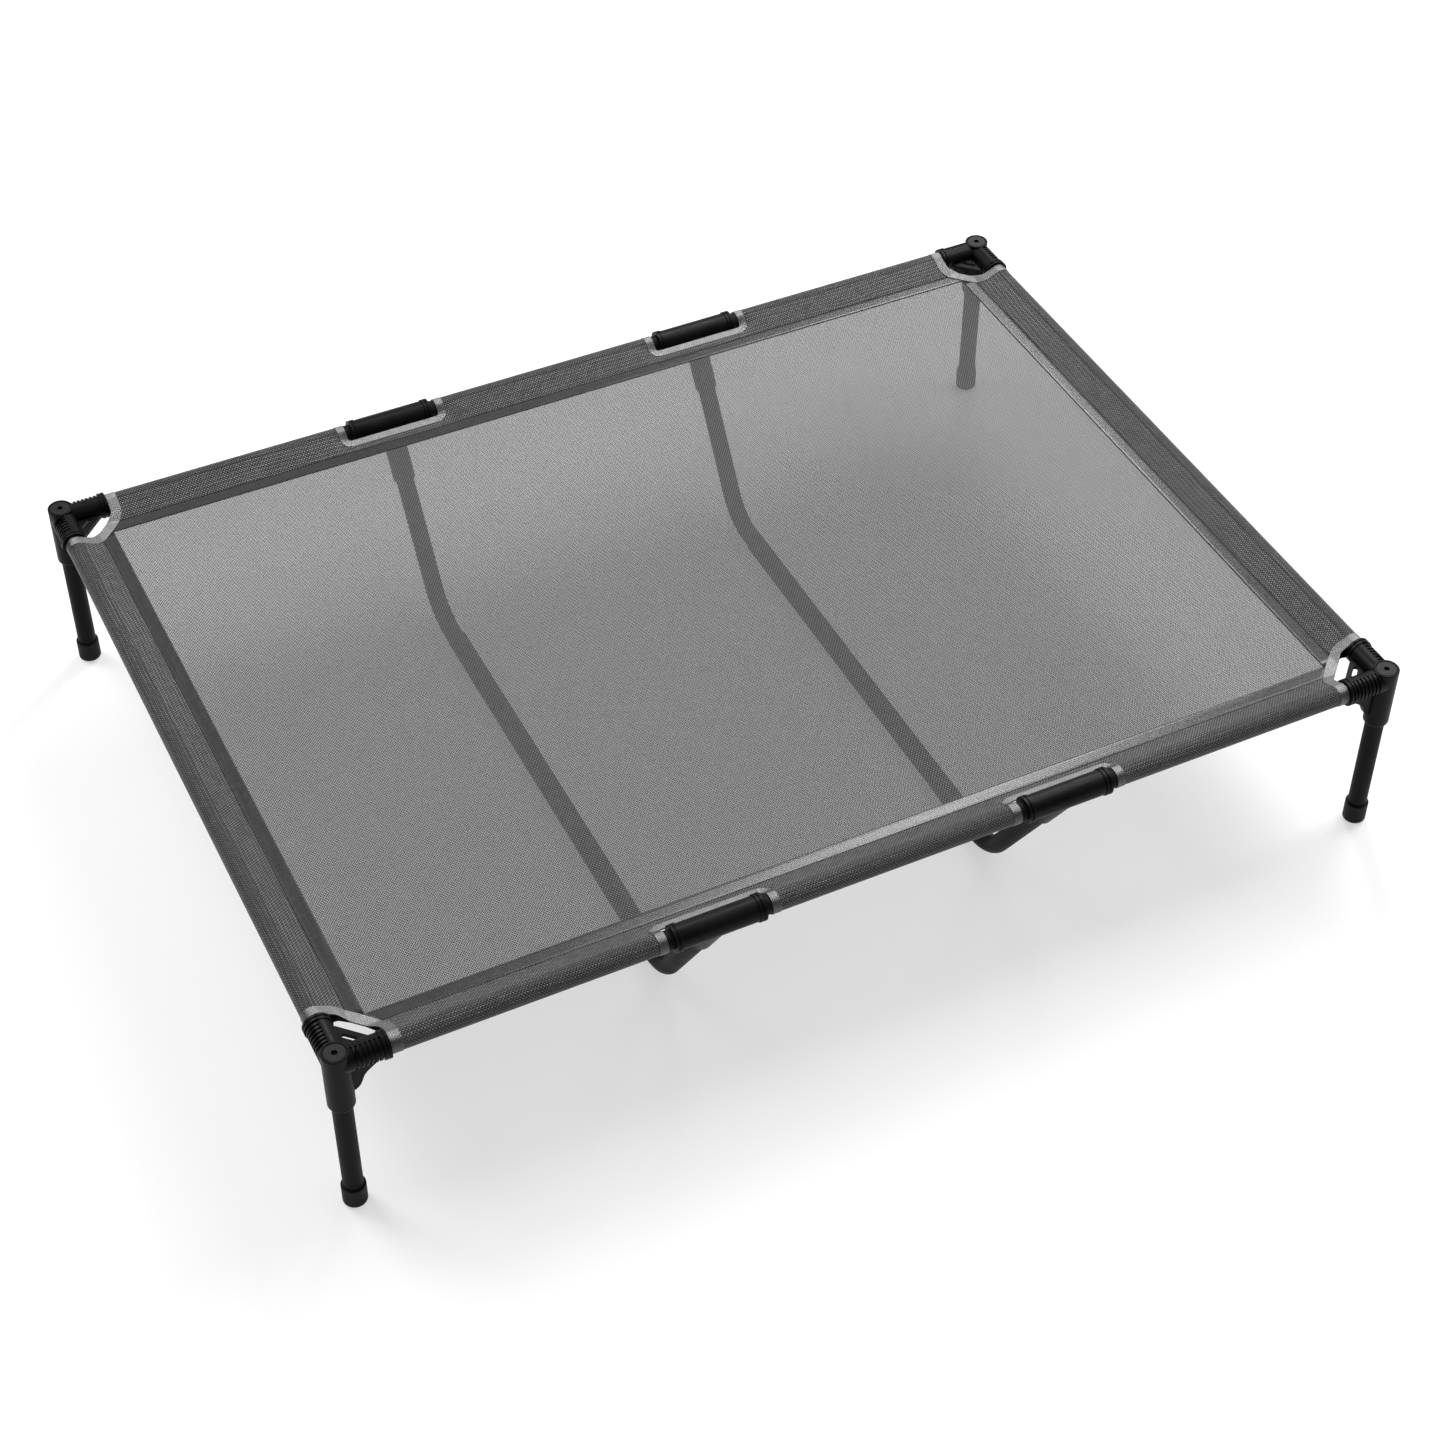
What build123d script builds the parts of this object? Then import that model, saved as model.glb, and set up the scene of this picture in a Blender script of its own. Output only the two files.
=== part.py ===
from build123d import *
from math import acos, atan2, cos, hypot, pi, radians, sin, tan
import os

# Raised pet cot: a steel tube frame on four legs, with a mesh cloth stretched over its rails.
# Millimetres, +Z up. The origin is on the floor, under the middle of the bed.
# The long side lies along X. Front is -Y, rear is +Y, left is -X and right is +X.
# u and v are distances from a corner post's axis, along the long and the short rail.

# ---- overall layout ----
post_span_x = 1194.0       # between the corner post axes, along the long side
post_span_y = 879.0        # between the corner post axes, along the short side
overall_height = 228.0     # floor to the top face of a corner post
rail_z = 213.5             # height of the rail axes
tee_x = 199.0              # distance of each tee connector from the middle of the long rail

# ---- steel tube ----
tube_r = 10.5
tube_wall = 1.0
socket_gap = 0.1           # air between a tube and the socket it is pushed into

# ---- corner connector ----
post_r = 14.0
post_bottom = 152.0
post_round = 3.0           # rounding of the post's lower end
post_chamfer = 0.7         # and the chamfer round its top
arm_r = 13.7
arm_length = 52.0          # post axis to the mouth of an arm
ring_r = 14.8              # the raised rings round a socket's mouth
ring_width = 2.8
ring_pitch = 4.4
rail_start = 17.0          # post axis to the end of a rail inside its arm
leg_top = 196.0            # upper end of a leg inside its socket
rib_count = 7
rib_pitch = 4.7
rib_depth = 1.6
rib_groove = 2.3
first_rib = 14.6           # post axis to the first groove
web_thickness = 4.5
web_reach = 56.5           # where the web's outer edge would cut an arm's axis
web_slot_reach = 45.0      # the same for the middle line of its slot
web_slot = (18.0, 4.8)
gusset_thickness = 6.0
gusset_edge = (            # free edge: from the post's axis, and from the arm's axis upwards
    (44.0, -13.0), (34.0, -21.5), (25.5, -29.5), (21.5, -39.0), (13.0, -46.5),
)

# ---- tee connector and cross bar ----
tee_length = 99.0
tee_stop = 3.0             # wall in the middle that the rail tubes butt against
branch_r = 13.0
branch_length = 70.0
branch_chamfer = 1.0
flare_thickness = 10.0
flare_edge = ((23.0, 0.0), (23.0, 17.0), (19.0, 24.0), (13.0, 32.0))   # half width, along the branch
branch_tube_start = 24.0   # rail axis to the upper end of a bent tube, along the branch
slant = radians(58)        # slope of the branch below the horizontal
bend_radius = 61.0
bar_r = 11.5               # centre tube, which the bent tubes slide into
bar_end_y = 263.0
bar_overlap = 45.0         # length of bent tube inside the centre tube

# ---- foot cap and leg bolt ----
cap_r = 12.8
cap_height = 26.0
cap_floor = 3.5
cap_round = 3.5            # rounding of the cap's lower edge
cap_lip = 0.8              # and of its upper edge
head_r = 11.4
head_height = 4.2
head_sink = 0.3            # head's top face below the post's top face
head_chamfer = 0.6
head_gap = 0.3             # air round the head
head_lift = 0.1            # and under it
shank_r = 4.0
shank_stop = 2.0           # end of the shank above the insert's lower face
bolt_gap = 0.06            # running clearance round the shank
insert_length = 20.0
hex_across_flats = 6.0
hex_depth = 3.6

# ---- cloth ----
panel_z = 210.0            # middle of the stretched cloth
cloth = 1.0                # thickness of the panel
trim = 0.8                 # thickness of tapes and bindings
hem_r = 11.1               # hem's outside, where it goes round a rail
hem_bore_r = 10.65
hem_width = 31.0           # rail axis to the weld line
tape_width = 15.0
skin_gap = 0.1             # air between two layers of cloth
cut_straight = 52.8        # corner cut-out: post axis to its straight ends
cut_turn = 17.4            # and where these turn into the diagonal
cut_round = 10.0
cut_outside = -60.0        # both cut-outs run well past the outside of the bed
corner_band = 12.0
notch_half = 57.0          # half of the notch's length round a tee
notch_depth = 15.6         # rail axis to the notch's inner edge
notch_round = 4.0
notch_band = 9.5
flap_rise = 0.5            # a flap's edge above the rail axis, beside its tee

post_x = -post_span_x / 2
post_y = -post_span_y / 2
sides_x = {"left": -1, "right": 1}
sides_y = {"front": -1, "rear": 1}


def save(part, name):
    """Label one finished piece and write it to its own file."""
    part.label = name
    export_step(part, f"parts/{name}.step")


def mirrored(part, side_x, side_y):
    """Take a piece of the front left quarter to the quarter on side_x and side_y."""
    if side_x > 0:
        part = mirror(part, about=Plane.YZ)
    if side_y > 0:
        part = mirror(part, about=Plane.XZ)
    return part


# ---------------------------------------------------------------- connectors


def corner_connector():
    """Moulded corner of the front left: leg socket, two ribbed arms, web and gussets."""
    post = Plane((post_x, post_y, post_bottom))
    corner = (post_x, post_y, rail_z)
    arm_planes = (
        Plane(corner, x_dir=(0, -1, 0), z_dir=(1, 0, 0)),
        Plane(corner, x_dir=(-1, 0, 0), z_dir=(0, 1, 0)),
    )
    gusset_planes = (
        Plane(corner, x_dir=(1, 0, 0), z_dir=(0, -1, 0)),
        Plane(corner, x_dir=(0, 1, 0), z_dir=(1, 0, 0)),
    )
    with BuildPart() as connector:
        with BuildSketch(post):
            Circle(post_r)
        extrude(amount=overall_height - post_bottom)
        fillet(connector.edges().group_by(Axis.Z)[0], radius=post_round)
        chamfer(connector.edges().group_by(Axis.Z)[-1], length=post_chamfer)
        for arm in arm_planes:
            with BuildSketch(arm):
                Circle(arm_r)
            extrude(amount=arm_length)
            for ring in range(2):
                with BuildSketch(arm.offset(arm_length - ring_width - ring * ring_pitch)):
                    Circle(ring_r)
                extrude(amount=ring_width)
        with BuildSketch(Plane((post_x, post_y, rail_z - web_thickness))):
            Polygon((0, 0), (web_reach, 0), (0, web_reach), align=None)
        extrude(amount=web_thickness)
        for gusset in gusset_planes:
            with BuildSketch(gusset):
                with BuildLine():
                    edge = Spline(*gusset_edge)
                    Polyline(edge @ 1, (0, (edge @ 1).Y), (0, 0), ((edge @ 0).X, 0), edge @ 0)
                make_face()
            extrude(amount=gusset_thickness / 2, both=True)
        for arm in arm_planes:
            for rib in range(rib_count):
                with BuildSketch(arm.offset(first_rib + rib * rib_pitch)):
                    Circle(ring_r)
                    Circle(arm_r - rib_depth, mode=Mode.SUBTRACT)
                    with Locations((-ring_r, 0)):
                        Rectangle(2 * ring_r, 2 * ring_r, mode=Mode.SUBTRACT)
                extrude(amount=rib_groove, mode=Mode.SUBTRACT)
        with BuildSketch(Plane((post_x, post_y, rail_z))):
            with Locations(Location((web_slot_reach / 2, web_slot_reach / 2), -45)):
                SlotOverall(*web_slot)
        extrude(amount=-web_thickness, mode=Mode.SUBTRACT)
        for arm in arm_planes:
            with BuildSketch(arm.offset(rail_start)):
                Circle(tube_r + socket_gap)
            extrude(amount=web_reach - rail_start, mode=Mode.SUBTRACT)
        with BuildSketch(post):
            Circle(tube_r + socket_gap)
        extrude(amount=leg_top - post_bottom, mode=Mode.SUBTRACT)
        with BuildSketch(Plane((post_x, post_y, leg_top))):
            Circle(shank_r + bolt_gap)
        extrude(amount=overall_height - leg_top, mode=Mode.SUBTRACT)
        with BuildSketch(Plane((post_x, post_y, overall_height))):
            Circle(head_r + head_gap)
        extrude(amount=-(head_sink + head_height + head_lift), mode=Mode.SUBTRACT)
    return connector.part


def tee_connector():
    """Moulded tee of the front left: a sleeve on the rail and a slanted branch to the cross bar."""
    centre = (-tee_x, post_y, rail_z)
    sleeve = Plane(centre, x_dir=(0, -1, 0), z_dir=(1, 0, 0))
    branch = Plane(centre, x_dir=(1, 0, 0), z_dir=(0, cos(slant), -sin(slant)))
    flare = Plane(centre, x_dir=(1, 0, 0), z_dir=(0, sin(slant), cos(slant)))
    mouth = tee_length / 2
    with BuildPart() as tee:
        with BuildSketch(branch):
            Circle(branch_r)
        extrude(amount=branch_length)
        chamfer(tee.edges().sort_by(Axis.Z)[0], length=branch_chamfer)
        with BuildSketch(flare):
            with BuildLine():
                half = Polyline(*flare_edge)
                mirror(half, about=Plane.YZ)
                Line(half @ 0, (-(half @ 0).X, 0))
                Line(half @ 1, (-(half @ 1).X, (half @ 1).Y))
            make_face()
        extrude(amount=flare_thickness / 2, both=True)
        with BuildSketch(sleeve):
            Circle(arm_r)
        extrude(amount=mouth, both=True)
        for side in (-1, 1):
            for ring in range(2):
                with BuildSketch(sleeve.offset(side * (mouth - ring * ring_pitch))):
                    Circle(ring_r)
                extrude(amount=-side * ring_width)
        for side in (-1, 1):
            with BuildSketch(sleeve.offset(side * tee_stop / 2)):
                Circle(tube_r + socket_gap)
            extrude(amount=side * mouth, mode=Mode.SUBTRACT)
        with BuildSketch(branch.offset(branch_tube_start)):
            Circle(tube_r + socket_gap)
        extrude(amount=branch_length, mode=Mode.SUBTRACT)
    return tee.part


# ---------------------------------------------------------------- steel tubes


def straight_tube(start, direction, length, outside=tube_r, bore=tube_r - tube_wall):
    """Round tube from a point on its axis, open at both ends."""
    with BuildPart() as tube:
        with BuildSketch(Plane(start, z_dir=direction)):
            Circle(outside)
            Circle(bore, mode=Mode.SUBTRACT)
        extrude(amount=length)
    return tube.part


def bent_tube():
    """Front left end of a cross bar: slanted down from its tee, then level into the centre tube."""
    drop = rail_z - bar_r
    corner_y = post_y + drop / tan(slant)
    top = (
        -tee_x,
        post_y + branch_tube_start * cos(slant),
        rail_z - branch_tube_start * sin(slant),
    )
    with BuildPart() as tube:
        with BuildLine() as route:
            FilletPolyline(
                top,
                (-tee_x, corner_y, bar_r),
                (-tee_x, -bar_end_y + bar_overlap, bar_r),
                radius=bend_radius,
            )
        with BuildSketch(Plane(top, z_dir=route.line % 0)):
            Circle(tube_r)
            Circle(tube_r - tube_wall, mode=Mode.SUBTRACT)
        sweep()
    return tube.part


# ---------------------------------------------------------------- legs and fasteners


def foot_cap():
    """Rubber cap pushed over the lower end of a leg."""
    with BuildPart() as cap:
        with BuildSketch(Plane((post_x, post_y, 0))):
            Circle(cap_r)
        extrude(amount=cap_height)
        fillet(cap.edges().group_by(Axis.Z)[0], radius=cap_round)
        fillet(cap.edges().group_by(Axis.Z)[-1], radius=cap_lip)
        with BuildSketch(Plane((post_x, post_y, cap_floor))):
            Circle(tube_r + socket_gap)
        extrude(amount=cap_height, mode=Mode.SUBTRACT)
    return cap.part


def leg_insert():
    """Threaded plug in the upper end of a leg, which the leg bolt screws into."""
    with BuildPart() as insert:
        with BuildSketch(Plane((post_x, post_y, leg_top - insert_length))):
            Circle(tube_r - tube_wall - socket_gap)
            Circle(shank_r + bolt_gap, mode=Mode.SUBTRACT)
        extrude(amount=insert_length)
    return insert.part


def leg_bolt():
    """Wide flat-headed bolt down through the post, with a hexagon socket in its head."""
    head_top = overall_height - head_sink
    shank_end = leg_top - insert_length + shank_stop
    with BuildPart() as bolt:
        with BuildSketch(Plane((post_x, post_y, head_top))):
            Circle(head_r)
        extrude(amount=-head_height)
        chamfer(bolt.edges().group_by(Axis.Z)[-1], length=head_chamfer)
        with BuildSketch(Plane((post_x, post_y, shank_end))):
            Circle(shank_r)
        extrude(amount=head_top - head_height - shank_end)
        with BuildSketch(Plane((post_x, post_y, head_top))):
            RegularPolygon(hex_across_flats / 2, 6, major_radius=False)
        extrude(amount=-hex_depth, mode=Mode.SUBTRACT)
    return bolt.part


# ---------------------------------------------------------------- cloth


def hem_outline(grow=0.0):
    """Section of a hem: round the rail, then drawn together at the weld line. Origin on the axis."""
    drop = panel_z - rail_z
    towards = atan2(drop, hem_width)
    half_open = acos(hem_r / hypot(hem_width, drop))
    top, bottom, back = (
        (hem_r * cos(towards + turn), hem_r * sin(towards + turn))
        for turn in (half_open, -half_open, pi)
    )
    with BuildSketch() as outline:
        with BuildLine():
            Polyline(top, (hem_width, drop), bottom)
            ThreePointArc(bottom, back, top)
        make_face()
        if grow:
            offset(amount=grow)
    return outline.sketch


def flap_outline(lower, upper, reach):
    """Section of flat cloth beside a tee, sloping from the notch's edge down to the weld line."""
    slope = (panel_z - rail_z - flap_rise) / (hem_width - notch_depth)
    end = flap_rise + slope * (reach - notch_depth)
    with BuildSketch() as outline:
        Polygon(
            (notch_depth, flap_rise + lower),
            (reach, end + lower),
            (reach, end + upper),
            (notch_depth, flap_rise + upper),
            align=None,
        )
    return outline.sketch


def corner_cut(grow=0.0):
    """Plan of the cut-out round a corner: straight over the rails, diagonal between them."""
    with BuildSketch() as cut:
        with BuildLine():
            FilletPolyline(
                (cut_straight, cut_outside),
                (cut_straight, cut_turn),
                (cut_turn, cut_straight),
                (cut_outside, cut_straight),
                radius=cut_round,
            )
            Polyline(
                (cut_outside, cut_straight),
                (cut_outside, cut_outside),
                (cut_straight, cut_outside),
            )
        make_face()
        if grow:
            offset(amount=grow)
    return cut.sketch


def notch_cut(grow=0.0):
    """Plan of the notch round a tee: a rectangle with rounded inner corners."""
    with BuildSketch() as cut:
        with BuildLine():
            FilletPolyline(
                (-notch_half, cut_outside),
                (-notch_half, notch_depth),
                (notch_half, notch_depth),
                (notch_half, cut_outside),
                radius=notch_round,
            )
            Line((notch_half, cut_outside), (-notch_half, cut_outside))
        make_face()
        if grow:
            offset(amount=grow)
    return cut.sketch


# Front left quarter: the floor point under the post, and sections looking along the two rails,
# where a sketch's x runs inwards from the rail and its y runs up.
post_foot = Plane((post_x, post_y, 0))
tee_foot = Plane((-tee_x, post_y, 0))
across_front = Plane((0, post_y, rail_z), x_dir=(0, 1, 0), z_dir=(1, 0, 0))
across_left = Plane((post_x, 0, rail_z), x_dir=(1, 0, 0), z_dir=(0, -1, 0))
at_tee = Plane((-tee_x, post_y, rail_z), x_dir=(0, 1, 0), z_dir=(1, 0, 0))
tall = 2 * overall_height


def long_hem():
    """Hem of the front side: a loop of cloth round the rail, laid flat in a notch at each tee."""
    flap_half = notch_half + trim + skin_gap
    with BuildPart() as hem:
        with BuildSketch(across_front):
            add(hem_outline())
        extrude(amount=-post_span_x / 2)
        with BuildSketch(at_tee):
            add(hem_outline(grow=cloth))
        extrude(amount=flap_half, both=True, mode=Mode.SUBTRACT)
        with BuildSketch(at_tee):
            add(flap_outline(-cloth / 2, cloth / 2, hem_width))
        extrude(amount=flap_half, both=True)
        with BuildSketch(post_foot):
            add(corner_cut())
        extrude(amount=tall, mode=Mode.SUBTRACT)
        with BuildSketch(across_front):
            Circle(hem_bore_r)
        extrude(amount=-post_span_x / 2, mode=Mode.SUBTRACT)
        mirror(about=Plane.YZ)
    return hem.part


def end_hem():
    """Hem of the left end: a loop of cloth round the whole end rail."""
    with BuildPart() as hem:
        with BuildSketch(across_left):
            add(hem_outline())
            Circle(hem_bore_r, mode=Mode.SUBTRACT)
        extrude(amount=post_span_y / 2)
        with BuildSketch(post_foot):
            add(corner_cut())
        extrude(amount=tall, mode=Mode.SUBTRACT)
        mirror(about=Plane.XZ)
    return hem.part


def mesh_panel():
    """Sheet of open mesh between the four weld lines, with its corners cut off."""
    with BuildPart() as panel:
        with BuildSketch(Plane((post_x, post_y, panel_z - cloth / 2))):
            with Locations((hem_width, hem_width)):
                Rectangle(-post_x - hem_width, -post_y - hem_width, align=Align.MIN)
            add(corner_cut(), mode=Mode.SUBTRACT)
        extrude(amount=cloth)
        mirror(about=Plane.YZ)
        mirror(about=Plane.XZ)
    return panel.part


def long_tape():
    """Tape along the front weld line, on top of the mesh."""
    with BuildPart() as tape:
        with BuildSketch(Plane((post_x, post_y, panel_z + cloth / 2))):
            with Locations((hem_width, hem_width)):
                Rectangle(-post_x - hem_width, tape_width, align=Align.MIN)
            add(corner_cut(grow=corner_band + skin_gap), mode=Mode.SUBTRACT)
        extrude(amount=trim)
        mirror(about=Plane.YZ)
    return tape.part


def end_tape():
    """Tape along the left weld line, between the two long tapes."""
    from_post = hem_width + tape_width + skin_gap
    with BuildPart() as tape:
        with BuildSketch(Plane((post_x, post_y, panel_z + cloth / 2))):
            with Locations((hem_width, from_post)):
                Rectangle(tape_width, -post_y - from_post, align=Align.MIN)
            add(corner_cut(grow=corner_band + skin_gap), mode=Mode.SUBTRACT)
        extrude(amount=trim)
        mirror(about=Plane.XZ)
    return tape.part


def corner_binding():
    """Binding along the cut edge of the front left corner, wrapped round both hems' ends."""
    wrap = 2 * hem_width + corner_band
    with BuildPart() as binding:
        for across, half_span in ((across_front, post_x), (across_left, -post_y)):
            with BuildSketch(across.offset(half_span)):
                add(hem_outline(grow=skin_gap + trim))
                add(hem_outline(grow=skin_gap), mode=Mode.SUBTRACT)
            extrude(amount=wrap if half_span < 0 else -wrap)
        with BuildSketch(Plane((post_x, post_y, 0))):
            with Locations((hem_width, hem_width)):
                Rectangle(wrap, wrap, align=Align.MIN)
        extrude(amount=panel_z + cloth / 2, mode=Mode.SUBTRACT)
        with BuildSketch(Plane((post_x, post_y, panel_z + cloth / 2))):
            with Locations((hem_width, hem_width)):
                Rectangle(wrap, wrap, align=Align.MIN)
        extrude(amount=trim)
        with BuildSketch(post_foot):
            add(corner_cut(grow=corner_band))
        extrude(amount=tall, mode=Mode.INTERSECT)
        with BuildSketch(post_foot):
            add(corner_cut())
        extrude(amount=tall, mode=Mode.SUBTRACT)
    return binding.part


def notch_binding():
    """Binding along the notch round the front left tee, wrapped round the hem at both ends."""
    wrap = notch_half + notch_band
    with BuildPart() as binding:
        with BuildSketch(at_tee):
            add(hem_outline(grow=skin_gap + trim))
            Circle(hem_bore_r, mode=Mode.SUBTRACT)
        extrude(amount=wrap, both=True)
        for side in (-1, 1):
            with BuildSketch(at_tee.offset(side * (notch_half + trim))):
                add(hem_outline(grow=skin_gap))
            extrude(amount=side * notch_band, mode=Mode.SUBTRACT)
        with BuildSketch(at_tee):
            add(hem_outline(grow=2 * trim))
        extrude(amount=notch_half, both=True, mode=Mode.SUBTRACT)
        with BuildSketch(at_tee):
            add(flap_outline(-cloth / 2 - skin_gap, cloth / 2, hem_width))
        extrude(amount=wrap, both=True, mode=Mode.SUBTRACT)
        with BuildSketch(at_tee):
            add(flap_outline(cloth / 2, cloth / 2 + trim, notch_depth + notch_band))
        extrude(amount=notch_half, both=True)
        with BuildSketch(tee_foot):
            add(notch_cut(grow=notch_band))
        extrude(amount=tall, mode=Mode.INTERSECT)
        with BuildSketch(tee_foot):
            add(notch_cut())
        extrude(amount=tall, mode=Mode.SUBTRACT)
    return binding.part


# ---------------------------------------------------------------- assembly

os.makedirs("parts", exist_ok=True)

# One of each in every corner, and at every tee.
quarter_pieces = {
    "corner_connector": corner_connector(),
    "leg": straight_tube((post_x, post_y, cap_floor), (0, 0, 1), leg_top - cap_floor),
    "leg_insert": leg_insert(),
    "leg_bolt": leg_bolt(),
    "foot_cap": foot_cap(),
    "corner_binding": corner_binding(),
    "tee_connector": tee_connector(),
    "cross_bar_end": bent_tube(),
    "notch_binding": notch_binding(),
    "outer_rail": straight_tube(
        (post_x + rail_start, post_y, rail_z),
        (1, 0, 0),
        -post_x - rail_start - tee_x - tee_stop / 2,
    ),
}
for side_y, y in sides_y.items():
    for side_x, x in sides_x.items():
        for piece, part in quarter_pieces.items():
            save(mirrored(part, x, y), f"{piece}_{side_y}_{side_x}")

# One of each along the front and the rear.
middle_rail = straight_tube((-tee_x + tee_stop / 2, post_y, rail_z), (1, 0, 0), 2 * tee_x - tee_stop)
for side_y, y in sides_y.items():
    save(mirrored(middle_rail, -1, y), f"middle_rail_{side_y}")
    save(mirrored(long_hem(), -1, y), f"hem_{side_y}")
    save(mirrored(long_tape(), -1, y), f"weld_tape_{side_y}")

# One of each at the left and the right.
rail_end_y = -post_y - rail_start
end_rail = straight_tube((post_x, -rail_end_y, rail_z), (0, 1, 0), 2 * rail_end_y)
centre_bar = straight_tube(
    (-tee_x, -bar_end_y, bar_r),
    (0, 1, 0),
    2 * bar_end_y,
    outside=bar_r,
    bore=tube_r + socket_gap,
)
for side_x, x in sides_x.items():
    save(mirrored(end_rail, x, -1), f"end_rail_{side_x}")
    save(mirrored(centre_bar, x, -1), f"cross_bar_{side_x}")
    save(mirrored(end_hem(), x, -1), f"hem_{side_x}")
    save(mirrored(end_tape(), x, -1), f"weld_tape_{side_x}")

save(mesh_panel(), "mesh_panel")
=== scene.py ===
from math import acos, atan2, cos, hypot, pi, radians, sin, sqrt

import bmesh
import bpy
import numpy as np
from mathutils import Matrix, Vector


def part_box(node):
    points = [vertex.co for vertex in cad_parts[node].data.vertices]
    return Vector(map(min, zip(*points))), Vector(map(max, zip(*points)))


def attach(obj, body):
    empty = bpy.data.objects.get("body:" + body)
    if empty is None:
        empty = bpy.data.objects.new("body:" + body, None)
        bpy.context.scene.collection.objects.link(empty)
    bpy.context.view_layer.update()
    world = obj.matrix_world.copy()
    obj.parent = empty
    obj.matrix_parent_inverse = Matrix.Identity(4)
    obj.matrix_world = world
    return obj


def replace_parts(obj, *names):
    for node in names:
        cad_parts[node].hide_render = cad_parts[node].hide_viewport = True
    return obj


# A raised pet cot: steel tubes, moulded connectors, and an open mesh cloth stretched over the rails.
# Metres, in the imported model's frame: +Z up, the long side along X, the front at -Y.

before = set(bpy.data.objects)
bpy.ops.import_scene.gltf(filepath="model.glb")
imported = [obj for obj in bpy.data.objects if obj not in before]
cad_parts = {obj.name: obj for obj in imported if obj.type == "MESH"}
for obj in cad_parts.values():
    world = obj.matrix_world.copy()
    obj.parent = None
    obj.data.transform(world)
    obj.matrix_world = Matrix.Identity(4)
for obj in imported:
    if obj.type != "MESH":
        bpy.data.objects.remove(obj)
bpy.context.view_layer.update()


def centre(node):
    """Middle of a CAD node's box."""
    low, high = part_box(node)
    return (low + high) / 2


# ---------------------------------------------------------------- sizes read from the frame

POST = centre("leg_front_left")                      # axis of the front left corner post
HALF_X = -POST.x
HALF_Y = -POST.y
RAIL_Z = centre("end_rail_left").z
PANEL_Z = centre("mesh_panel").z
TEE_X = -centre("tee_connector_front_left").x
HEM_R = -HALF_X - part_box("hem_left")[0].x            # cloth's outside where it goes round a rail
HEM_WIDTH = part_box("hem_left")[1].x + HALF_X         # rail axis to the weld line
TAPE_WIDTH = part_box("weld_tape_left")[1].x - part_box("weld_tape_left")[0].x
CORNER_BAND = 0.012
NOTCH_BAND = 0.0095
CUT_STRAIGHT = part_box("corner_binding_front_left")[1].x + HALF_X - CORNER_BAND
NOTCH_HALF = TEE_X - NOTCH_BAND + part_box("notch_binding_front_right")[1].x - 2 * TEE_X
NOTCH_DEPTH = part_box("notch_binding_front_left")[1].y + HALF_Y - NOTCH_BAND

# ---------------------------------------------------------------- sizes of the cloth's own detail

CUT_TURN = 0.0202        # corner cut-out: where its straight part turns into the diagonal
CUT_ROUND = 0.010
LAYER = 0.0005           # the welded cloth's outside, above and below its middle
HEM_THICK = 0.00042
FLAP_RISE = 0.0005       # notch's edge above the rail axis
NOTCH_FADE = 0.026       # length over which a hem rises from a notch's flat edge to the rail
NOTCH_ROUND = 0.004
TAPE_HALF = 0.00065      # welded band's faces, above and below the cloth's middle
TAPE_OVERLAP = 0.0006    # how far a band reaches over the hem, past the weld line
TAPE_GAP = 0.00005       # between two bands where one ends at the other
TAPE_UNDER = 0.0085      # how far a band runs on below the corner binding
BINDING_PROUD = 0.0005
SAG = 0.0022             # drop of the stretched cloth in its middle
YARN_X = 0.00167         # distance between the yarns that run along Y
YARN_Y = 0.00215         # and between those that run along X


# ---------------------------------------------------------------- material graphs


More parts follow.
